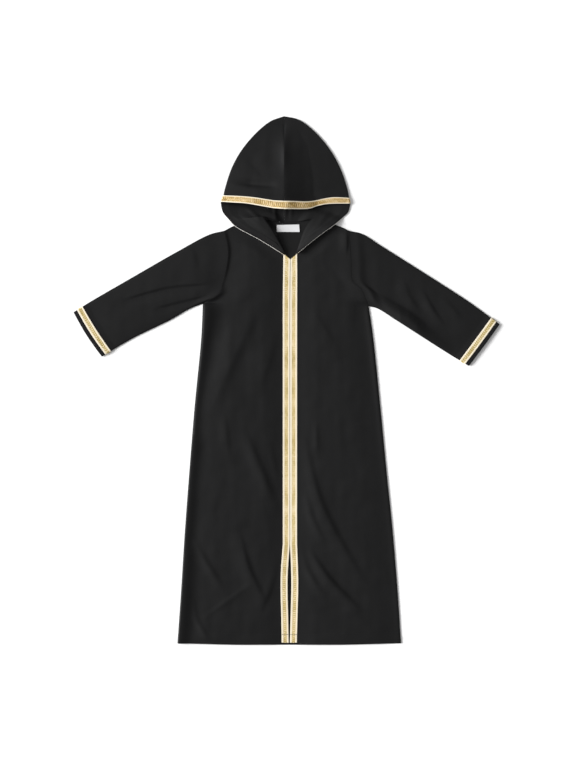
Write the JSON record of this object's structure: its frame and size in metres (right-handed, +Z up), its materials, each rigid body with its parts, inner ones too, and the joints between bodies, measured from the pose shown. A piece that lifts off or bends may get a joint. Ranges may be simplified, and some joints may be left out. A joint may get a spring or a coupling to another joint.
{
  "type": "prayer abaya",
  "caption": "Child's long black hooded prayer abaya laid flat, with gold braid round the hood, down the front and at the cuffs.",
  "frame": {"origin": "bottom centre of the whole garment as it lies, on the surface under its back", "axes": "+Y from the hem towards the hood, +X towards the wearer's left, +Z up from the surface"},
  "size_m": [0.8944, 1.1102, 0.0182],
  "materials": {
    "black_crepe": "matte black crepe with a faint sheen",
    "gold_braid": "woven metallic braid, gold middle with cream edges",
    "white_label": "blank white woven satin label"
  },
  "bodies": {
    "root": {"back": "black_crepe", "front_left": "black_crepe", "front_right": "black_crepe", "sleeve_left": "black_crepe", "sleeve_right": "black_crepe", "hood_left": "black_crepe", "hood_right": "black_crepe", "trim_front_left": "gold_braid", "trim_front_right": "gold_braid", "trim_hood": "gold_braid", "trim_cuff_left": "gold_braid", "trim_cuff_right": "gold_braid", "label": "white_label"}
  },
  "joints": []
}
